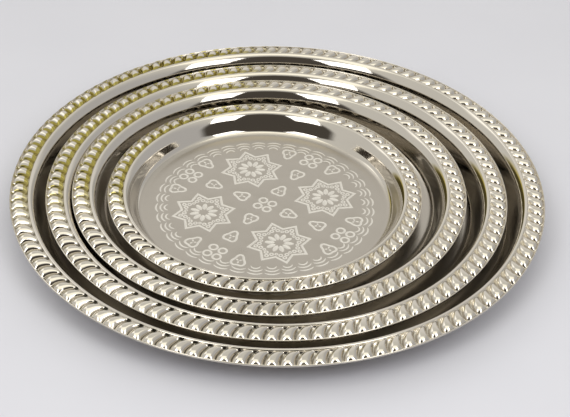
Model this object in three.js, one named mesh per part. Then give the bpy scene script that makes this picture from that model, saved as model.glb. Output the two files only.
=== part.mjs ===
// A nest of four round tea trays, each pressed from one sheet of polished metal.
// Every tray has a flat floor, a leaning wall that bends into it, a rounded shoulder, and a brim
// that carries a band of curled lobes and ends in a narrow lip turned down all round.
// The trays stand one in another, floor on floor, so that each can be lifted out by itself.
// Millimetres, +Z up. The origin is the middle of the largest tray's underside.

import * as THREE from 'three';

// The sheet that every tray is pressed from.
const SHEET_THICKNESS = 0.8;
const SHEET_COLOUR = 0xd6cfbf;

// The section that the press gives to all the trays, from the floor out to the lip.
const FLOOR_BEND_RADIUS = 7;
const WALL_LEAN = THREE.MathUtils.degToRad(22);
const SHOULDER_RADIUS = 16;
const SHOULDER_LEAN = THREE.MathUtils.degToRad(50);
const BRIM_BEND_RADIUS = 2;
const BRIM_FALL = THREE.MathUtils.degToRad(6);
const LIP_DEPTH = 1.6;
const LIP_LEDGE = 0.5;

// The lobes that stand between the valleys pressed down into the brim. Each curls round the rim as it
// runs inwards, by a number of lobe widths. The valleys are at full depth from a lobe's bulb, near its
// outer end, to its tail.
const LOBE_RISE = 0.3;
const VALLEY_DEPTH = 2.4;
const LOBE_CURL = 0.5;
const LOBE_CURL_POWER = 2;
const BULB_SHARE = 0.14;
const TAIL_SHARE = 0.86;
const PLAIN_BAND = 1;

// How the trays stand in each other. Each smaller tray is lower by a step, so that the rims stay
// nearly level.
const FLOOR_GAP = 0.3;
const LARGEST_DIAMETER = 400;
const LARGEST_HEIGHT = 23;
const HEIGHT_STEP = 2.1;
const WIDEST_BRIM = 14.2;
const WIDEST_PLAY = 11.85;

// What differs from tray to tray. The height runs from the underside to the top of the brim's bend,
// and the brim is measured from that bend out to the lip, as a share of the widest one. The play is
// the room that a tray's lip has all round it in the tray that it stands in, as a share of the
// widest. A tray lies over by a part of its play, towards an angle in degrees, because the trays
// were put into each other by hand.
const TRAYS = [
  { name: 'tray_large', brimShare: 1, lobes: 118 },
  { name: 'tray_medium_large', brimShare: 1, lobes: 102, playShare: 0.704, lean: 0.3, toward: 251 },
  { name: 'tray_medium_small', brimShare: 0.97, lobes: 86, playShare: 0.485, lean: 0.96, toward: 170 },
  { name: 'tray_small', brimShare: 0.88, lobes: 70, playShare: 1, lean: 0.476, toward: 234 },
];

// How finely the round shapes are cut into flats.
const PLAIN_SIDES = 64;
const FLOOR_BEND_STEPS = 3;
const SHOULDER_STEPS = 2;
const BRIM_BEND_STEPS = 1;

// The middles of the three bends in a tray's section, as (radius, height). The shoulder carries on
// from the brim's bend with a wider sweep, and the straight wall joins it to the floor's bend.
function bendCentres(tray) {
  const brimBend = new THREE.Vector2(tray.radius - tray.brim, tray.height - BRIM_BEND_RADIUS);
  const sweep = SHOULDER_RADIUS - BRIM_BEND_RADIUS;
  const shoulderRadius = brimBend.x + sweep * Math.cos(SHOULDER_LEAN);
  const shoulder = new THREE.Vector2(shoulderRadius, brimBend.y - sweep * Math.sin(SHOULDER_LEAN));
  const bends = SHOULDER_RADIUS + FLOOR_BEND_RADIUS;
  const floorBendHeight = SHEET_THICKNESS + FLOOR_BEND_RADIUS;
  const drop = shoulder.y - floorBendHeight + bends * Math.sin(WALL_LEAN);
  const floorBendRadius = shoulder.x - bends * Math.cos(WALL_LEAN) - drop * Math.tan(WALL_LEAN);
  return { brimBend, shoulder, floorBend: new THREE.Vector2(floorBendRadius, floorBendHeight) };
}

// The height of the brim's upper face at a distance out from its bend, before it is pressed.
function brimHeight(tray, out) {
  const bendTop = tray.height - BRIM_BEND_RADIUS + BRIM_BEND_RADIUS / Math.cos(BRIM_FALL);
  return bendTop - out * Math.tan(BRIM_FALL);
}

// The inside radius of a tray's shoulder or straight wall at a height, at the middle of its flats.
function wallRadius(tray, height) {
  const { shoulder } = bendCentres(tray);
  const up = Math.max(height - shoulder.y, SHOULDER_RADIUS * Math.sin(WALL_LEAN));
  const below = up - (height - shoulder.y);
  const round = shoulder.x - Math.sqrt(SHOULDER_RADIUS ** 2 - up ** 2) - below * Math.tan(WALL_LEAN);
  return round * Math.cos(Math.PI / PLAIN_SIDES);
}

// The points of a bend's arc in the section, from one angle to another.
function bendPoints(centre, radius, from, to, steps) {
  return Array.from({ length: steps + 1 }, (_, step) => {
    const angle = THREE.MathUtils.lerp(from, to, step / steps);
    return new THREE.Vector2(centre.x + radius * Math.cos(angle), centre.y + radius * Math.sin(angle));
  });
}

// A ring of points round the tray. Where a rise and a depth are given, the points are by turns
// lifted and lowered by them, which makes the crests of the lobes and the valleys between them.
function ring(radius, height, count, turn, rise = 0, depth = 0) {
  return Array.from({ length: count }, (_, index) => {
    const angle = turn + (2 * Math.PI * index) / count;
    const lift = index % 2 === 0 ? rise : -depth;
    return new THREE.Vector3(radius * Math.cos(angle), radius * Math.sin(angle), height + lift);
  });
}

// A ring across all the lobes at a share of their length, from the lip inwards. It has a crest and a
// valley for each lobe, and at the two ends, where the brim isn't pressed, one plain point.
function lobeRing(tray, share, faceDrop) {
  const out = tray.brim - LIP_LEDGE - share * (tray.brim - LIP_LEDGE - PLAIN_BAND);
  const radius = tray.radius - tray.brim + out;
  const height = brimHeight(tray, out) - faceDrop;
  const turn = (LOBE_CURL * share ** LOBE_CURL_POWER * 2 * Math.PI) / tray.lobes;
  if (share === 0 || share === 1) {
    return ring(radius, height, tray.lobes, turn);
  }
  return ring(radius, height, 2 * tray.lobes, turn, LOBE_RISE, VALLEY_DEPTH);
}

// All the rings of a tray in order: out along its underside, round the lip and back in on top.
function trayRings(tray) {
  const { brimBend, shoulder, floorBend } = bendCentres(tray);
  const wallTurn = LOBE_CURL * ((2 * Math.PI) / tray.lobes);
  const plainRing = (point) => ring(point.x, point.y, PLAIN_SIDES, wallTurn);
  const faceDrop = SHEET_THICKNESS / Math.cos(BRIM_FALL);
  const floorTurn = [-Math.PI / 2, -WALL_LEAN];
  const shoulderTurn = [Math.PI - WALL_LEAN, Math.PI - SHOULDER_LEAN];
  const brimTurn = [Math.PI - SHOULDER_LEAN, Math.PI / 2 - BRIM_FALL];

  const undersideBends = [
    ...bendPoints(floorBend, FLOOR_BEND_RADIUS + SHEET_THICKNESS, ...floorTurn, FLOOR_BEND_STEPS),
    ...bendPoints(shoulder, SHOULDER_RADIUS - SHEET_THICKNESS, ...shoulderTurn, SHOULDER_STEPS),
    ...bendPoints(brimBend, BRIM_BEND_RADIUS - SHEET_THICKNESS, ...brimTurn, BRIM_BEND_STEPS).slice(1),
  ];
  const topBends = [
    ...bendPoints(brimBend, BRIM_BEND_RADIUS, ...brimTurn.toReversed(), BRIM_BEND_STEPS),
    ...bendPoints(shoulder, SHOULDER_RADIUS, ...shoulderTurn.toReversed(), SHOULDER_STEPS).slice(1),
    ...bendPoints(floorBend, FLOOR_BEND_RADIUS, ...floorTurn.toReversed(), FLOOR_BEND_STEPS),
  ];

  const lipInside = tray.radius - SHEET_THICKNESS;
  const lipTop = brimHeight(tray, tray.brim);
  const lipBottom = lipTop - LIP_DEPTH;
  const lip = [
    ring(lipInside, brimHeight(tray, tray.brim - SHEET_THICKNESS) - faceDrop, tray.lobes, 0),
    ring(lipInside, lipBottom, tray.lobes, 0),
    ring(tray.radius, lipBottom, tray.lobes, 0),
    ring(tray.radius, lipTop, tray.lobes, 0),
  ];

  return [
    ...undersideBends.map(plainRing),
    lobeRing(tray, 1, faceDrop),
    lobeRing(tray, TAIL_SHARE, faceDrop),
    lobeRing(tray, BULB_SHARE, faceDrop),
    ...lip,
    lobeRing(tray, 0, 0),
    lobeRing(tray, BULB_SHARE, 0),
    lobeRing(tray, TAIL_SHARE, 0),
    lobeRing(tray, 1, 0),
    ...topBends.map(plainRing),
  ];
}

// Joins neighbouring rings into one closed skin. Two rings with different counts of points are
// walked round together, and the one whose next point comes first takes the next triangle.
function skin(rings) {
  const points = rings.flat();
  const triangles = [];
  let start = 0;
  for (let index = 0; index + 1 < rings.length; index += 1) {
    const [here, next] = [rings[index].length, rings[index + 1].length];
    const nextStart = start + here;
    let [a, b] = [0, 0];
    while (a < here || b < next) {
      const corners = [start + (a % here), nextStart + (b % next)];
      if (b === next || (a < here && (a + 1) / here <= (b + 1) / next)) {
        a += 1;
        triangles.push(corners[0], start + (a % here), corners[1]);
      } else {
        b += 1;
        triangles.push(corners[0], nextStart + (b % next), corners[1]);
      }
    }
    start = nextStart;
  }
  capFloor(points, triangles, rings[0], 0, true);
  capFloor(points, triangles, rings.at(-1), start, false);

  const geometry = new THREE.BufferGeometry().setFromPoints(points);
  geometry.setIndex(triangles);
  geometry.computeVertexNormals();
  return geometry;
}

// Closes the floor with a fan of triangles round its middle.
function capFloor(points, triangles, edge, start, facesDown) {
  const middle = points.length;
  points.push(new THREE.Vector3(0, 0, edge[0].z));
  for (let index = 0; index < edge.length; index += 1) {
    const side = [start + index, start + ((index + 1) % edge.length)];
    triangles.push(...(facesDown ? side.toReversed() : side), middle);
  }
}

// A tray with its sizes and its place in the nest, from the tray that it stands in.
function seatTray(sizes, around) {
  const brim = WIDEST_BRIM * sizes.brimShare;
  if (!around) {
    const radius = LARGEST_DIAMETER / 2;
    return { ...sizes, brim, height: LARGEST_HEIGHT, radius, place: new THREE.Vector3() };
  }
  const tray = { ...sizes, brim, height: around.height - HEIGHT_STEP };
  const step = SHEET_THICKNESS + FLOOR_GAP;
  const lipBottom = step + brimHeight(tray, brim) - LIP_DEPTH;
  const play = WIDEST_PLAY * tray.playShare;
  const angle = THREE.MathUtils.degToRad(tray.toward);
  const offset = new THREE.Vector2(Math.cos(angle), Math.sin(angle)).multiplyScalar(play * tray.lean);
  const place = around.place.clone().add(new THREE.Vector3(offset.x, offset.y, step));
  return { ...tray, radius: wallRadius(around, lipBottom) - play, place };
}

const nest = new THREE.Group();
let around = null;
for (const sizes of TRAYS) {
  const tray = seatTray(sizes, around);
  const metal = new THREE.MeshStandardMaterial({ color: SHEET_COLOUR, metalness: 1, roughness: 0.12 });
  const mesh = new THREE.Mesh(skin(trayRings(tray)), metal);
  mesh.name = tray.name;
  mesh.position.copy(tray.place);
  nest.add(mesh);
  around = tray;
}

export default nest;
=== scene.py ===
# %% [markdown]
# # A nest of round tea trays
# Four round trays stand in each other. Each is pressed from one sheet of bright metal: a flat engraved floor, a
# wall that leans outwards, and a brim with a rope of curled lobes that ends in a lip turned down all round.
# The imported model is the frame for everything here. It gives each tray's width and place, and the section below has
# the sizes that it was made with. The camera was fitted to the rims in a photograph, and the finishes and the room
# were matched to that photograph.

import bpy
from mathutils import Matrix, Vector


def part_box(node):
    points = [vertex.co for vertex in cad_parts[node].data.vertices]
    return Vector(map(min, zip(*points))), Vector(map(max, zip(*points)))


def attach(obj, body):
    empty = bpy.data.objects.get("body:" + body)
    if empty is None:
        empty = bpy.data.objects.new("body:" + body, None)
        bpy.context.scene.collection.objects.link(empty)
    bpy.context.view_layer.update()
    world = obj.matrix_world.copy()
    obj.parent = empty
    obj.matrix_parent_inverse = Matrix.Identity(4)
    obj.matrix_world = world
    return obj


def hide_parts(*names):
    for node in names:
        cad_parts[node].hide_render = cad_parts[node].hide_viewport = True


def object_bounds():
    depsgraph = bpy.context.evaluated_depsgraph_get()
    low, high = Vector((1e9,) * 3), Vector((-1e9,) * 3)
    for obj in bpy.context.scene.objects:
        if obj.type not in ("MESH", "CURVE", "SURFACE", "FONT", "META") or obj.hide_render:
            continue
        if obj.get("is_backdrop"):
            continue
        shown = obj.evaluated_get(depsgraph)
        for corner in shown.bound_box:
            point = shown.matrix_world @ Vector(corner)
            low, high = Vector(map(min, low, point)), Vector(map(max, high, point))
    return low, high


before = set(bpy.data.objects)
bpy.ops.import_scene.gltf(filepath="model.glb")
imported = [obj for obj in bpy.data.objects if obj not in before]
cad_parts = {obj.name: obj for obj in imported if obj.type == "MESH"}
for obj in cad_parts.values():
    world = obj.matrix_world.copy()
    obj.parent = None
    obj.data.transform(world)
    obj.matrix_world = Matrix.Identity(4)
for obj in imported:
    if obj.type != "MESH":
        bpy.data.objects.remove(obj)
cad_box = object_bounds()
print("trays in the model:", sorted(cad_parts))

# %% [markdown]
# ## The section of a tray
# All four trays have the same section, as they come from the same kind of press. It could be drawn as a curve and
# spun with a Screw modifier, but the lobes on the brim don't repeat along a plain circle. So the section is kept
# as a few sizes, in millimetres, and the mesh is built from rings of points that follow it.

# %% The section that the trays share
import math

import bpy
import numpy as np
from mathutils import Matrix, Vector
from mathutils.geometry import delaunay_2d_cdt

MM = 0.001
SHEET = 0.8
FLOOR_BEND = 7.0
WALL_LEAN = math.radians(22)
SHOULDER = 16.0
SHOULDER_LEAN = math.radians(50)
BRIM_BEND = 2.0
BRIM_FALL = math.radians(6)
LIP_DEPTH = 1.6
LIP_LEDGE = 0.5
PLAIN_BAND = 1.0


class Tray:
    """One tray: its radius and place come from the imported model, its section from the sizes above."""

    def __init__(self, name, height, brim, lobes):
        low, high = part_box(name)
        self.name, self.brim, self.lobes = name, brim, lobes
        self.radius = (high.x - low.x) / 2 / MM
        self.place = Vector(((low.x + high.x) / 2, (low.y + high.y) / 2, low.z))
        self.pitch = 2 * math.pi / lobes
        self.bend_radius = self.radius - brim
        self.bend_height = height - BRIM_BEND
        sweep = SHOULDER - BRIM_BEND
        self.shoulder_radius = self.bend_radius + sweep * math.cos(SHOULDER_LEAN)
        self.shoulder_height = self.bend_height - sweep * math.sin(SHOULDER_LEAN)
        both_bends = SHOULDER + FLOOR_BEND
        drop = self.shoulder_height - SHEET - FLOOR_BEND + both_bends * math.sin(WALL_LEAN)
        wall_foot = both_bends * math.cos(WALL_LEAN) + drop * math.tan(WALL_LEAN)
        self.floor_radius = self.shoulder_radius - wall_foot

    def brim_height(self, out):
        """Height of the brim's upper face at a distance out from its bend."""
        return self.bend_height + BRIM_BEND / math.cos(BRIM_FALL) - out * math.tan(BRIM_FALL)


trays = [
    Tray("tray_large", height=23, brim=14.2, lobes=118),
    Tray("tray_medium_large", height=20.9, brim=14.2, lobes=102),
    Tray("tray_medium_small", height=18.8, brim=13.77, lobes=86),
    Tray("tray_small", height=16.7, brim=12.5, lobes=70),
]
for tray in trays:
    print(f"{tray.name}: {2 * tray.radius:.1f} mm across, floor {2 * tray.floor_radius:.1f} mm")

# %% [markdown]
# ## Rings of points
# A ring is a row of points all the way round a tray. Rings with the same count of points are joined by quads.
# Where the count changes, as from the many points of the lobes to the few of the plain wall, two rings are walked
# round together, and whichever has its next point first takes the next triangle. That keeps the skin closed.

# %% Rings and the skin between them


def ring(radius, height, turns):
    """Points round the middle at the given turns, and those turns. The height may differ from point to point."""
    x, y = radius * np.cos(turns), radius * np.sin(turns)
    return np.stack([x, y, np.broadcast_to(height, turns.shape)], axis=1), turns


def even_turns(count):
    """Turns of a ring whose points are evenly spaced."""
    return 2 * math.pi * np.arange(count) / count


def skin_between(first, first_turns, second, second_turns):
    """Faces between two rings, given as the indices of their points."""
    here, there = len(first), len(second)
    if here == there:
        along, across = np.roll(first, -1), np.roll(second, -1)
        return np.stack([first, along, across, second], axis=1).tolist()
    first_next = np.append(first_turns[1:], first_turns[0] + 2 * math.pi)
    second_next = np.append(second_turns[1:], second_turns[0] + 2 * math.pi)
    faces = []
    a = b = 0
    while a < here or b < there:
        corners = [first[a % here], second[b % there]]
        if b == there or (a < here and first_next[a] <= second_next[b]):
            a += 1
            faces.append([corners[0], first[a % here], corners[1]])
        else:
            b += 1
            faces.append([corners[0], second[b % there], corners[1]])
    return faces


joined = skin_between(np.arange(8), even_turns(8), np.arange(8, 14), even_turns(6))
print("triangles between a ring of 8 points and one of 6:", len(joined))

# %% [markdown]
# ## The rope of lobes
# Valleys are pressed down into the brim, and a lobe stands between each two. Along its length a lobe is an egg: its
# crest comes up steeply from the lip, runs level and falls again towards its inner end. Across it is a round bow,
# and it curls a little round the rim as it runs inwards. A bump map would stay flat where the lobes mirror each
# other, so they are real shapes here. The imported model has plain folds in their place, with crests 0.7 mm
# lower and valleys 0.6 mm shallower.

# %% The shape of one lobe
CREST_RISE = 1.0
BULB_SHARE, BULB_FALL = 0.38, 4.2
TAIL_SHARE, TAIL_FALL = 0.6, 2.6
LOBE_WIDTH, LIP_WIDTH = 0.97, 0.55
WIDENING_SHARE, TAIL_NARROWING, NARROWING_POWER = 0.25, 0.25, 1.5
LOBE_CURL, LOBE_TURN = 0.85, 0.25
VALLEY_DEPTH, VALLEY_RAMP, VALLEY_SCOOP = 3.0, 0.3, 0.3
EDGE_SHARE, EDGE_PART = 0.02, 0.25
LEAST_RISE = 0.01


def rounded(share):
    """A quarter round that rises from 0 to 1 over a share from 0 to 1."""
    return math.sqrt(1 - (1 - min(share, 1)) ** 2)


def lobe_size(share):
    """Width in pitches, rise over the valley and depth of the valley, at a share of the length from the lip."""
    ramp = EDGE_PART * min(1, share / EDGE_SHARE) + (1 - EDGE_PART) * rounded(share / VALLEY_RAMP)
    depth = VALLEY_DEPTH * min(ramp, rounded((1 - share) / VALLEY_SCOOP))
    bulb_fall = BULB_FALL * (1 - rounded(share / BULB_SHARE))
    tail_fall = TAIL_FALL * (1 - rounded((1 - share) / TAIL_SHARE))
    crest = CREST_RISE - bulb_fall - tail_fall
    width = LOBE_WIDTH * (LIP_WIDTH + (1 - LIP_WIDTH) * rounded(share / WIDENING_SHARE))
    width *= 1 - TAIL_NARROWING * max(0, 2 * share - 1) ** NARROWING_POWER
    return width, max(crest + depth, 0), depth


def lobe_ring(tray, share, face_drop, over, between):
    """A ring across all the lobes, with points over each lobe and points in each valley between two."""
    width, rise, depth = lobe_size(share)
    out = tray.brim - LIP_LEDGE - share * (tray.brim - LIP_LEDGE - PLAIN_BAND)
    radius = tray.bend_radius + out
    reach = np.sin(np.linspace(-math.pi / 2, math.pi / 2, over))
    valley = width / 2 + (1 - width) * np.arange(1, between + 1) / (between + 1)
    across = np.concatenate([reach * width / 2, valley])
    half = radius * tray.pitch * width / 2
    bow = (half**2 + rise**2) / (2 * max(rise, LEAST_RISE))
    lift = np.concatenate([np.sqrt(bow**2 - (half * reach) ** 2) - bow + rise, np.zeros(between)])
    curl = LOBE_CURL * ((share - LOBE_TURN) ** 2 - (1 - LOBE_TURN) ** 2)
    turns = tray.pitch * (np.arange(tray.lobes)[:, None] + across + curl).ravel()
    height = tray.brim_height(out) - face_drop - depth + np.tile(lift, tray.lobes)
    return ring(radius, height, turns)


for share in (0.1, 0.4, 0.8):
    print("lobe at", share, "of its length: width, rise, depth", [round(size, 2) for size in lobe_size(share)])

# %% [markdown]
# ## All the rings of a tray
# The rings start at the edge of the floor's underside, run out under the brim, go round the lip and come back in
# over the lobes, the bend and the wall to the edge of the floor. Bends are arcs of short steps, and the lip's two
# edges are rounded, because a bright edge on polished metal is what shows that it has a thickness. The counts of
# points are for one lobe, and the shares run along it from the lip.

# %% From the underside round the lip to the floor
LIP_ROUND = 0.45
LOBE_POINTS, VALLEY_POINTS = 13, 4
UNDER_LOBE_POINTS, UNDER_VALLEY_POINTS = 6, 2
PLAIN_POINTS = 4
TOP_SHARES = [0, 0.008, 0.02, 0.04, 0.07, 0.105, 0.145, 0.19, 0.24, 0.3, 0.37, 0.44]
TOP_SHARES += [0.51, 0.58, 0.65, 0.71, 0.77, 0.82, 0.86, 0.9, 0.93, 0.96, 0.98, 0.992, 1]
UNDER_SHARES = [1, 0.86, 0.68, 0.5, 0.34, 0.2, 0.09, 0]


def arc(middle_radius, middle_height, radius, start, end, steps):
    """Points of a bend in the section, as pairs of a radius and a height."""
    angles = np.radians(np.linspace(start, end, steps + 1))
    return np.stack([middle_radius + radius * np.cos(angles), middle_height + radius * np.sin(angles)], axis=1)


def tray_rings(tray):
    """The rings of a tray in order, as pairs of points and turns."""
    lean, fall = math.degrees(WALL_LEAN), math.degrees(BRIM_FALL)
    shoulder_lean = math.degrees(SHOULDER_LEAN)
    face_drop = SHEET / math.cos(BRIM_FALL)
    floor_bend = (tray.floor_radius, SHEET + FLOOR_BEND)
    shoulder = (tray.shoulder_radius, tray.shoulder_height)
    brim_bend = (tray.bend_radius, tray.bend_height)
    lip_top, lip_bottom = tray.brim_height(tray.brim), tray.brim_height(tray.brim) - LIP_DEPTH
    lip_inside = tray.radius - SHEET

    under = [
        arc(*floor_bend, FLOOR_BEND + SHEET, -90, -lean, steps=9),
        arc(*shoulder, SHOULDER - SHEET, 180 - lean, 180 - shoulder_lean, steps=6)[:-1],
        arc(*brim_bend, BRIM_BEND - SHEET, 180 - shoulder_lean, 90 - fall, steps=4),
    ]
    lip = [
        [(lip_inside, tray.brim_height(tray.brim - SHEET) - face_drop)],
        arc(tray.radius - SHEET / 2, lip_bottom + SHEET / 2, SHEET / 2, 180, 360, steps=6),
        arc(tray.radius - LIP_ROUND, lip_top - LIP_ROUND, LIP_ROUND, 0, 90 - fall, steps=4),
    ]
    top = [
        arc(*brim_bend, BRIM_BEND, 90 - fall, 180 - shoulder_lean, steps=5)[:-1],
        arc(*shoulder, SHOULDER, 180 - shoulder_lean, 180 - lean, steps=8),
        arc(*floor_bend, FLOOR_BEND, -lean, -90, steps=12),
    ]

    plain_turns = even_turns(PLAIN_POINTS * tray.lobes)
    rings = [ring(*point, plain_turns) for point in np.concatenate(under)]
    rings += [lobe_ring(tray, share, face_drop, UNDER_LOBE_POINTS, UNDER_VALLEY_POINTS) for share in UNDER_SHARES]
    rings += [ring(*point, plain_turns) for point in np.concatenate(lip)]
    lobed = range(len(rings), len(rings) + len(TOP_SHARES) - 1)
    rings += [lobe_ring(tray, share, 0, LOBE_POINTS, VALLEY_POINTS) for share in TOP_SHARES]
    rings += [ring(*point, plain_turns) for point in np.concatenate(top)]
    return rings, lobed


for tray in trays:
    rings, lobed = tray_rings(tray)
    print(tray.name, "rings:", len(rings), "of which over the lobes:", len(lobed) + 1)

# %% [markdown]
# ## The engraved floor
# The floor carries a traditional pattern, cut as fine frosted lines: four eight-pointed stars, quatrefoils, buds
# and a border of scallops. It could be painted on with a mask, but a cut line catches the light on two faces. So a
# line here is a shallow V groove. Points on a plane are complex numbers, because a turn is then one product.

# %% Lines and motifs, in millimetres on the smallest floor
PATTERN_FLOOR = trays[-1].floor_radius
LINE_SLOPE = 0.2
LEAF_REACH, LEAF_RADIUS = 5.7, 3.0
BUD_RADIUS, BUD_WAVE, BUD_STRETCH = 4.6, 0.9, 1.25
VEIN_ENDS = (0.3, 2.6)
STAR_POINTS, STAR_TIP, STAR_NOTCH = 8, 23.2, 16.6
PETALS, PETAL_ENDS = 10, (3.2, 10.9)
POINT_RING, POINT_RING_PLACES = 1.3, (17.6, 14.4 + 2.3j, 14.4 - 2.3j)
NOTCH_RING, NOTCH_RING_REACH = 1.0, 13.4
SCALLOP_ARCS = ((10, 36), (6.7, 55), (3.6, 80))


def closed_line(points, width):
    """A cut that ends where it starts."""
    return np.asarray(points), np.full(len(points), width / 2), True


def open_line(points, width):
    """A cut that runs out to a point at both ends."""
    share = np.linspace(0, 1, len(points))
    return np.asarray(points), width / 2 * np.sqrt(np.sin(math.pi * share).clip(0)), False


def turned(degrees):
    """The unit direction at an angle."""
    return np.exp(1j * np.radians(degrees))


def loop(middle, radius, width, steps):
    """A round cut."""
    return closed_line(middle + radius * turned(np.arange(steps) * 360 / steps), width)


def quatrefoil():
    """Four round leaves."""
    middles = [LEAF_REACH * turned(45 + 90 * quarter) for quarter in range(4)]
    return [loop(middle, LEAF_RADIUS, width=1.7, steps=20) for middle in middles]


def bud():
    """A long outline of three waves, with three veins in it."""
    around = np.arange(0, 360, 12)
    outline = (BUD_RADIUS + BUD_WAVE * np.cos(np.radians(3 * around))) * turned(around)
    veins = [open_line(np.linspace(*VEIN_ENDS, 5) * turned(60 + 120 * third), width=1.5) for third in range(3)]
    lines = [closed_line(outline, width=1.8), *veins]
    return [(BUD_STRETCH * points.real + 1j * points.imag, half, closed) for points, half, closed in lines]


def star():
    """A pointed outline, with petals in the middle, three rings in each point and one inside each notch."""
    half_point = 180 / STAR_POINTS
    tips = np.tile([STAR_TIP, STAR_NOTCH], STAR_POINTS) * turned(np.arange(0, 360, half_point))
    sides = (tips + np.roll(tips, -1)) / 2
    outline = closed_line(np.stack([tips, sides], axis=1).ravel(), width=1.9)
    petal_ways = [turned(360 / PETALS * petal) for petal in range(PETALS)]
    petals = [open_line(np.linspace(*PETAL_ENDS, 9) * way, width=3.7) for way in petal_ways]
    rings = []
    for point in range(STAR_POINTS):
        way = turned(2 * half_point * point)
        rings += [loop(place * way, POINT_RING, width=1.15, steps=10) for place in POINT_RING_PLACES]
        rings.append(loop(NOTCH_RING_REACH * turned(half_point) * way, NOTCH_RING, width=0.85, steps=10))
    return [outline, *petals, *rings]


def scallop():
    """Arcs one inside another, each given by its radius and half of its turn."""
    return [open_line(radius * turned(np.linspace(-half, half, 11)), width=1.4) for radius, half in SCALLOP_ARCS]


def put(motif, reach, way, facing=1):
    """A motif moved out along a way and turned with it. Facing -1 turns it towards the middle."""
    return [(way * (reach + facing * points), half, closed) for points, half, closed in motif]


print("lines in a star:", len(star()), "in a bud:", len(bud()), "in a quatrefoil:", len(quatrefoil()))

# %% [markdown]
# The motifs are laid out in four quarters. The whole pattern lies turned a little, as it does on the real floor.
# Where a bud or a quatrefoil reaches into the border, the scallop over it goes without its smallest arc.

# %% The pattern laid out
PATTERN_TURN = 14.5
STAR_REACH, QUATREFOIL_REACH = 47.3, 68
INNER_BUD_REACH, MIDDLE_BUD_REACH = 20.7, 46.5
OUTER_BUD_REACH, OUTER_BUD_TURN = 70, 16.5
SCALLOP_REACH, SCALLOP_STEP = 72.5, 9
CROWDED = (0, 18)


def floor_pattern():
    """All the cuts of a floor."""
    cuts = put(quatrefoil(), 0, turned(PATTERN_TURN + 45))
    for quarter in range(4):
        axis = PATTERN_TURN + 90 * quarter
        diagonal = axis + 45
        cuts += put(star(), STAR_REACH, turned(axis))
        cuts += put(bud(), INNER_BUD_REACH, turned(diagonal))
        cuts += put(bud(), MIDDLE_BUD_REACH, turned(diagonal), facing=-1)
        cuts += put(quatrefoil(), QUATREFOIL_REACH, turned(diagonal))
        for side in (-OUTER_BUD_TURN, OUTER_BUD_TURN):
            cuts += put(bud(), OUTER_BUD_REACH, turned(diagonal + side), facing=-1)
    for angle in range(0, 360, SCALLOP_STEP):
        arcs = scallop()
        if abs(angle % 90 - 45) in CROWDED:
            arcs = arcs[:-1]
        cuts += put(arcs, SCALLOP_REACH, turned(PATTERN_TURN + angle))
    return cuts


print("cuts in the floor:", len(floor_pattern()))

# %% [markdown]
# Every cut becomes three lines: its two edges at the floor's level, and its bed below. A Delaunay triangulation
# that keeps these lines as edges turns the whole floor into one flat mesh, with the cuts as part of it. A triangle
# that touches a bed lies in a cut, and takes the frosted finish.

# %% Cut the pattern into a disc
FLOOR_EDGE_POINTS = 360
DISC_SHARE = 0.985
LEAST_MITRE = 0.45
LEAST_DEPTH = 0.01
JOIN_DISTANCE = 1e-5


def cut_edges(points, half, closed):
    """The two edges of a cut, at half its width on either side, with mitred corners."""
    if closed:
        back, ahead = points - np.roll(points, 1), np.roll(points, -1) - points
    else:
        steps = np.diff(points)
        back, ahead = np.append(steps[:1], steps), np.append(steps, steps[-1:])
    back, ahead = back / abs(back), ahead / abs(ahead)
    along = (back + ahead) / abs(back + ahead)
    mitre = 1 / (along * np.conj(ahead)).real.clip(LEAST_MITRE)
    side = 1j * along * half * mitre
    return points + side, points - side


def cut_disc(cuts, edge_radius):
    """Points, bed depths and triangles of a disc with the cuts in it, and the points of its edge in order."""
    points = list(edge_radius * turned(np.arange(FLOOR_EDGE_POINTS) * 360 / FLOOR_EDGE_POINTS))
    depths = [0.0] * FLOOR_EDGE_POINTS
    edges = [(index, (index + 1) % FLOOR_EDGE_POINTS) for index in range(FLOOR_EDGE_POINTS)]
    for bed, half, closed in cuts:
        left, right = cut_edges(bed, half, closed)
        for line, depth in ((bed, LINE_SLOPE * half), (left, 0 * half), (right, 0 * half)):
            start, count = len(points), len(line)
            points.extend(line)
            depths.extend(depth)
            edges += [(start + index, start + index + 1) for index in range(count - 1)]
            if closed:
                edges.append((start + count - 1, start))
    flat = [Vector((point.real, point.imag)) for point in points]
    made, _, triangles, sources, _, _ = delaunay_2d_cdt(flat, edges, [], 0, JOIN_DISTANCE)
    made_points = np.array([complex(*point) for point in made])
    made_depths = np.array([max((depths[index] for index in source), default=0.0) for source in sources])
    place_of = {index: place for place, source in enumerate(sources) for index in source}
    return made_points, made_depths, triangles, [place_of[index] for index in range(FLOOR_EDGE_POINTS)]


disc_points, disc_depths, disc_triangles, disc_edge = cut_disc(floor_pattern(), DISC_SHARE * PATTERN_FLOOR)
disc_cut = np.array([max(disc_depths[corner] for corner in triangle) > LEAST_DEPTH for triangle in disc_triangles])
print("floor triangles:", len(disc_triangles), "of which in cuts:", int(disc_cut.sum()))

# %% [markdown]
# ## Shader helpers
# Material nodes are easier to read as sums. The first class below wraps a value in a node tree, and arithmetic on
# it adds Math nodes. The second one makes any other node: its settings first, then its sockets.

# %% Node trees as expressions


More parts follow.
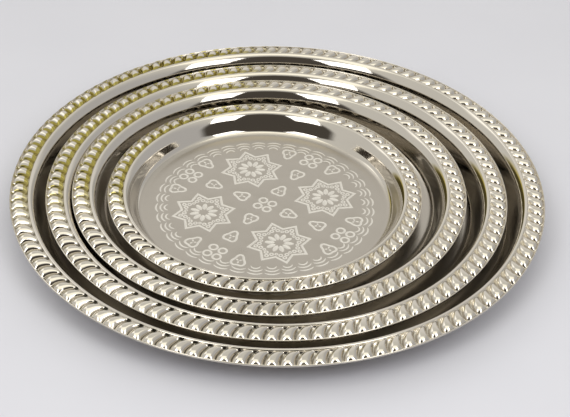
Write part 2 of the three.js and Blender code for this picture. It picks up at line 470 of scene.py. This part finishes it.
class Flow:
    """A value on its way through a node tree."""

    def __init__(self, shader, socket):
        self.shader, self.socket = shader, socket

    def math(self, operation, *values):
        return self.shader.node("ShaderNodeMath", {"operation": operation}, dict(enumerate(values)))

    def __add__(self, other):
        return self.math("ADD", self, other)

    __radd__ = __add__

    def __sub__(self, other):
        return self.math("SUBTRACT", self, other)

    def __rsub__(self, other):
        return self.math("SUBTRACT", other, self)

    def __mul__(self, other):
        return self.math("MULTIPLY", self, other)

    __rmul__ = __mul__

    def beside(self, output):
        """Another output of the node that this value comes from."""
        return Flow(self.shader, self.socket.node.outputs[output])

    def rise(self, start, end):
        """Goes smoothly from 0 to 1 between two values."""
        settings = {"interpolation_type": "SMOOTHSTEP"}
        sockets = {"Value": self, "From Min": start, "From Max": end}
        return self.shader.node("ShaderNodeMapRange", settings, sockets)


class Shader:
    """The node tree of a material or of the world."""

    def __init__(self, owner):
        owner.use_nodes = True
        self.tree = owner.node_tree
        self.tree.nodes.clear()

    def node(self, kind, settings=None, sockets=None, output=0):
        node = self.tree.nodes.new(kind)
        for name, setting in (settings or {}).items():
            setattr(node, name, setting)
        for name, value in (sockets or {}).items():
            if isinstance(value, Flow):
                self.tree.links.new(value.socket, node.inputs[name])
            else:
                node.inputs[name].default_value = value
        return Flow(self, node.outputs[output]) if node.outputs else None

    def blend(self, factor, first, second):
        """A colour between two, by a factor."""
        return self.node("ShaderNodeMix", {"data_type": "RGBA"}, {0: factor, 6: first, 7: second}, output=2)

    def noise(self, coordinates, scale, detail):
        sockets = {"Vector": coordinates, "Scale": scale, "Detail": detail}
        return self.node("ShaderNodeTexNoise", {}, sockets)


print("helpers ready")

# %% [markdown]
# ## The finishes
# The sheet looks like bright nickel, in a warm tone. On the brim and the wall it is polished to a mirror, with a haze
# from wiping. The colour is the metal's own, so deep gaps turn golden brown by themselves: light bounces between
# their walls more than once, and each bounce tints it again.

# %% Polished plate
HAZE_SCALE, HAZE_DETAIL, HAZE_SHARE = 38, 4, 0.6
GRAIN_DETAIL, GRAIN_SHARE = 3, 0.4
PLATE_LOOK = ((0.58, 0.542, 0.482), (0.63, 0.592, 0.528), (0.03, 0.08), 420, 0.00001)


def metal(name, low_colour, high_colour, roughness, grain_scale, grain_height, painted_light=None):
    """A metal finish: tone and roughness drift with a haze, and a fine grain breaks the reflection."""
    material = bpy.data.materials.new(name)
    shader = Shader(material)
    coordinates = shader.node("ShaderNodeTexCoord", output="Object")
    haze = shader.noise(coordinates, HAZE_SCALE, HAZE_DETAIL)
    grain = shader.noise(coordinates, grain_scale, GRAIN_DETAIL)
    low_rough, high_rough = roughness
    bump = shader.node("ShaderNodeBump", {}, {"Strength": 1.0, "Distance": grain_height, "Height": grain})
    colour = shader.blend(haze, (*low_colour, 1), (*high_colour, 1))
    # An optional painter of light mixes a painted reflection or a painted shade into the colour.
    if painted_light:
        colour = painted_light(shader, coordinates, colour)
    surface = shader.node(
        "ShaderNodeBsdfPrincipled",
        {},
        {
            "Base Color": colour,
            "Roughness": low_rough + (high_rough - low_rough) * (HAZE_SHARE * haze + GRAIN_SHARE * grain),
            "Metallic": 1.0,
            "Normal": bump,
        },
    )
    shader.node("ShaderNodeOutputMaterial", {}, {"Surface": surface})
    return material


polished_plate = metal("polished_plate", *PLATE_LOOK)
print(polished_plate.name, "nodes:", len(polished_plate.node_tree.nodes))

# %% [markdown]
# The floor has a satin finish, as if it was brushed before it was engraved. The cut lines are rough, as a tool's
# point leaves them, so they scatter light and stay pale from every side.

# %% Satin ground and frosted cuts
satin_ground = metal("satin_ground", (0.41, 0.38, 0.338), (0.45, 0.417, 0.371), (0.24, 0.34), 2600, 0.00002)
frosted_cut = metal("frosted_cut", (0.7, 0.675, 0.63), (0.76, 0.735, 0.695), (0.5, 0.62), 3400, 0.00004)
print("floor finishes:", satin_ground.name, frosted_cut.name)

# %% [markdown]
# The photograph has yellow and dark marks between the lobes on the left. They are painted into the colour here: a
# straw yellow painted reflection of warm light on the left at the back, where it also reaches up a flank of each lobe
# and over its inner end, and a dark painted shade on the left at the front, where it lies in the valleys alone. Both
# tell where they are by the direction from the middle of the tray.

# %% Painted reflection and shade between the lobes
# The straw yellow is a painted reflection of warm light, and the dark is a painted shade.
PAINTED_STRAW_REFLECTION, PAINTED_DARK_SHADE = (0.37, 0.315, 0.085, 1), (0.05, 0.045, 0.03, 1)


def way_out(shader, coordinates):
    """The direction from the middle of a tray, as its parts to the right and to the back."""
    direction = shader.node("ShaderNodeVectorMath", {"operation": "NORMALIZE"}, {0: coordinates})
    side = shader.node("ShaderNodeSeparateXYZ", {}, {"Vector": direction}, output="X")
    return side, side.beside("Y")


def painted_straw_reflection(shader, coordinates, colour):
    """A painted reflection of warm light: straw yellow on the left at the back of a tray."""
    side, depth = way_out(shader, coordinates)
    painted_light = (-1 * side).rise(-0.05, 0.3) * depth.rise(-0.4, 0.0)
    return shader.blend(painted_light, colour, PAINTED_STRAW_REFLECTION)


def painted_reflection_and_shade(shader, coordinates, colour):
    """The straw painted reflection, turned into a dark painted shade on the left at the front of a tray."""
    side, depth = way_out(shader, coordinates)
    # Painted shade: dark on the left at the front of a tray, laid over the straw painted reflection.
    painted_light = (-0.5 * side - 0.87 * depth).rise(0.65, 1.0)
    return shader.blend(painted_light, painted_straw_reflection(shader, coordinates, colour), PAINTED_DARK_SHADE)


# The plate for flanks and inner ends, with the straw yellow painted reflection mixed into its colour.
flank_painted_reflection = metal("flank_painted_reflection", *PLATE_LOOK, painted_straw_reflection)
# The valleys' plate is darker than the polished plate all round, a painted shade, and takes the straw painted
# reflection and the dark painted shade.
valley_painted_shade_and_reflection = metal("valley_painted_shade_and_reflection", (0.5, 0.465, 0.4), (0.56, 0.52, 0.45), (0.08, 0.16), 900, 0.00001, painted_reflection_and_shade)
print("film finishes:", flank_painted_reflection.name, valley_painted_shade_and_reflection.name)

# %% [markdown]
# ## Build the trays
# One mesh per tray takes the rings, a plain underside and the engraved disc, which is scaled to the tray's own
# floor. The satin starts part of the way down the floor's bend, and the painted reflection and shade lie in and beside
# the valleys. Each mesh stands where its tray does in the imported model, takes the tray's place there and moves with
# it.

# %% The four tray meshes
FINISHES = (polished_plate, satin_ground, frosted_cut, flank_painted_reflection, valley_painted_shade_and_reflection)
PLATE, SATIN, CUT, FLANK, VALLEY = range(len(FINISHES))
SATIN_STEPS = 6
FLANK_RINGS, CREST_RINGS = 17, 9
FLANK_QUADS, FOOT_QUADS = 2, 1
CREST_QUADS = LOBE_POINTS - 1 - FLANK_QUADS - FOOT_QUADS
VALLEY_QUADS = VALLEY_POINTS + 1 + FOOT_QUADS


def tray_mesh(tray):
    """The mesh of a tray, in metres, with its middle at the underside's middle."""
    rings, lobed = tray_rings(tray)
    starts = np.cumsum([0] + [len(turns) for _, turns in rings])
    indices = [np.arange(start, end) for start, end in zip(starts, starts[1:])]
    points = np.concatenate([ring_points for ring_points, _ in rings])
    faces, finish = [], []
    for index in range(len(rings) - 1):
        faces += skin_between(indices[index], rings[index][1], indices[index + 1], rings[index + 1][1])
        # Over the lobes, flanks and crests near the inner end take the plate with the painted reflection, and every
        # valley takes the plate with painted shade.
        if index in lobed:
            flank, crest = (FLANK if index >= lobed[-count] else PLATE for count in (FLANK_RINGS, CREST_RINGS))
            finish += ([crest] * CREST_QUADS + [flank] * FLANK_QUADS + [VALLEY] * VALLEY_QUADS) * tray.lobes
        plain = SATIN if index >= len(rings) - 1 - SATIN_STEPS else PLATE
        finish += [plain] * (len(faces) - len(finish))

    scale = tray.floor_radius / PATTERN_FLOOR
    disc = np.stack([scale * disc_points.real, scale * disc_points.imag, SHEET - disc_depths], axis=1)
    disc_start = len(points)
    edge = np.array(disc_edge) + disc_start
    faces += skin_between(indices[-1], rings[-1][1], edge, even_turns(FLOOR_EDGE_POINTS))
    finish += [SATIN] * (len(faces) - len(finish))
    middle = disc_start + len(disc)
    first_ring = indices[0]
    faces += [[int(b), int(a), middle] for a, b in zip(first_ring, np.roll(first_ring, -1))]
    finish += [PLATE] * (len(faces) - len(finish))
    faces += [[corner + disc_start for corner in triangle] for triangle in disc_triangles]
    finish = np.array(finish + np.where(disc_cut, CUT, SATIN).tolist(), dtype=np.int32)
    points = np.concatenate([points, disc, [[0, 0, 0]]])

    mesh = bpy.data.meshes.new(tray.name + "_sheet")
    mesh.from_pydata((points * MM).tolist(), [], faces)
    mesh.polygons.foreach_set("material_index", finish)
    mesh.polygons.foreach_set("use_smooth", finish != CUT)
    for material in FINISHES:
        mesh.materials.append(material)
    mesh.validate()
    return mesh


for tray in trays:
    piece = bpy.data.objects.new(tray.name + "_sheet", tray_mesh(tray))
    bpy.context.scene.collection.objects.link(piece)
    piece.location = tray.place
    bpy.context.view_layer.update()
    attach(piece, tray.name)
    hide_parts(tray.name)
    triangles = sum(len(polygon.vertices) - 2 for polygon in piece.data.polygons)
    print(f"{piece.name}: {triangles} triangles, size in mm", [round(side / MM, 1) for side in piece.dimensions])

# %% [markdown]
# ## The table
# The trays stand on a pale cloth. Its own colour gives the light background, and it takes the soft shadow under
# the brim. It reaches far enough that the polished metal mirrors a table and not the room below it.

# %% Pale cloth
TABLE_SIDE = 8.0

cloth = bpy.data.materials.new("pale_cloth")
shader = Shader(cloth)
weave_place = shader.node("ShaderNodeTexCoord", output="Object")
# Painted shade of folds: the cloth is a touch lighter and darker in broad patches.
fold_shade = shader.noise(weave_place, 9, 3)
surface = shader.node(
    "ShaderNodeBsdfPrincipled",
    {},
    {
        "Base Color": shader.blend(fold_shade, (0.63, 0.632, 0.69, 1), (0.67, 0.672, 0.73, 1)),
        "Roughness": 0.9,
        "Specular IOR Level": 0.1,
    },
)
shader.node("ShaderNodeOutputMaterial", {}, {"Surface": surface})

half = TABLE_SIDE / 2
corners = [(-half, -half, 0), (half, -half, 0), (half, half, 0), (-half, half, 0)]
table_mesh = bpy.data.meshes.new("table")
table_mesh.from_pydata(corners, [], [(0, 1, 2, 3)])
table_mesh.materials.append(cloth)
table = bpy.data.objects.new("table", table_mesh)
bpy.context.scene.collection.objects.link(table)
table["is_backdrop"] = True
print("table side in m:", TABLE_SIDE)

# %% [markdown]
# ## The room
# Polished metal has hardly a look of its own: it shows the room. The room is a plain gradient by height with soft
# patches laid over it. A window on the left and a lamp overhead give the lobes their white glints, a yellow curtain
# at the far left shows in the bends on the right, and the dark behind the camera draws the dark bands at the back.

# %% A room of soft patches
world = bpy.data.worlds.new("room")
bpy.context.scene.world = world
shader = Shader(world)
direction = shader.node("ShaderNodeTexCoord", output="Generated")
depth = shader.node("ShaderNodeSeparateXYZ", {}, {"Vector": direction}, output="Y")
height = depth.beside("Z")
side = depth.beside("X")
room = shader.blend(height.rise(0.0, 0.8), (0.54, 0.53, 0.51, 1), (0.86, 0.85, 0.80, 1))
left, behind = -1 * side, -1 * depth
lamp = behind.rise(-0.25, -0.05) * (1 - behind.rise(0.4, 0.5)) * (1 - (side * side).rise(0.2, 0.3))
window = left.rise(0.3, 0.5) * depth.rise(0.15, 0.35) * height.rise(0.48, 0.62)
far_left = (0.82 * depth + 0.57 * left).rise(0.9, 0.97)
patches = {
    "light wall at the back": (depth.rise(0.6, 0.8) * height.rise(0.15, 0.3), (1.0, 0.98, 0.94)),
    "light wall on the left": (left.rise(0.35, 0.8), (0.82, 0.81, 0.78)),
    "window on the left": (window, (1.8, 1.78, 1.7)),
    "grey wall on the right": (side.rise(0.5, 0.85), (0.62, 0.62, 0.63)),
    "yellow curtain at the far left": (far_left * (1 - height.rise(0.44, 0.56)), (0.7, 0.58, 0.12)),
    "dark foot of the curtain": (far_left * (1 - height.rise(0.2, 0.3)), (0.09, 0.075, 0.025)),
    "lamp overhead": (lamp, (1.7, 1.67, 1.5)),
    "dark behind the camera": (behind.rise(0.5, 0.62), (0.09, 0.08, 0.07)),
}
for mask, colour in patches.values():
    room = shader.blend(mask, room, (*colour, 1))
background = shader.node("ShaderNodeBackground", {}, {"Color": room, "Strength": 1.0})
shader.node("ShaderNodeOutputWorld", {}, {"Surface": background})
print("patches in the room:", list(patches))

# %% [markdown]
# Two soft boxes hang beside the camera and a little over it, on the left and on the right. They are large, so the
# shadow is soft, and the bends of the walls draw each of them as a bright bar.

# %% Two soft boxes
BOX_WIDTH, BOX_HEIGHT, BOX_BRIGHTNESS = 0.46, 0.58, 3.4


def soft_box(name, place):
    """An area light, turned to the middle of the largest tray."""
    light = bpy.data.lights.new(name, "AREA")
    light.shape, light.size, light.size_y = "RECTANGLE", BOX_WIDTH, BOX_HEIGHT
    light.energy = BOX_BRIGHTNESS * math.pi * BOX_WIDTH * BOX_HEIGHT
    box = bpy.data.objects.new(name, light)
    box.location = place
    box.rotation_euler = (-Vector(place)).to_track_quat("-Z", "Y").to_euler()
    bpy.context.scene.collection.objects.link(box)
    return box


left_box = soft_box("left_box", (-0.56, -0.77, 0.89))
right_box = soft_box("right_box", (0.61, -0.73, 0.89))
print("soft boxes:", [tuple(round(value, 2) for value in box.location) for box in (left_box, right_box)])

# %% [markdown]
# ## The camera
# The view is that of the photograph: from the front, 37 degrees above the table, with the camera tipped a little to
# one side. The focal length was found in pixels of the photograph, so it is divided by the photograph's width.

# %% Set up the view
ELEVATION = math.radians(37.2)
ROLL = math.radians(1.8)
DISTANCE = 1.0309
AIM = Vector((0.0057, -0.0348, 0.023))
FOCAL_PIXELS, PHOTO_PIXELS = 1404, 570
SENSOR_WIDTH = 36

camera_data = bpy.data.cameras.new("camera")
camera_data.sensor_fit, camera_data.sensor_width = "HORIZONTAL", SENSOR_WIDTH
camera_data.lens = FOCAL_PIXELS / PHOTO_PIXELS * SENSOR_WIDTH
camera_data.dof.use_dof = False
camera = bpy.data.objects.new("camera", camera_data)
bpy.context.scene.collection.objects.link(camera)
ahead = Vector((0, math.cos(ELEVATION), -math.sin(ELEVATION)))
level_up = Vector((0, math.sin(ELEVATION), math.cos(ELEVATION)))
right = math.cos(ROLL) * Vector((1, 0, 0)) + math.sin(ROLL) * level_up
up = math.cos(ROLL) * level_up - math.sin(ROLL) * Vector((1, 0, 0))
axes = Matrix((right, up, -ahead)).transposed().to_4x4()
camera.matrix_world = Matrix.Translation(AIM - DISTANCE * ahead) @ axes
bpy.context.scene.camera = camera
bpy.context.scene.view_settings.view_transform = "Standard"
print("camera at", [round(value, 3) for value in camera.location], "lens", round(camera_data.lens, 1), "mm")

# %% [markdown]
# ## Measure and finish
# The dressed trays keep to the imported model's box within a fraction of a millimetre: the lobes' crests reach a little
# over it. Both boxes are written out, so that they can be compared.

# %% Print both boxes
bpy.context.view_layer.update()
boxes = {"cad": cad_box, "visual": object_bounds()}
boxes = {name: [list(corner) for corner in box] for name, box in boxes.items()}
print("boxes:", boxes)
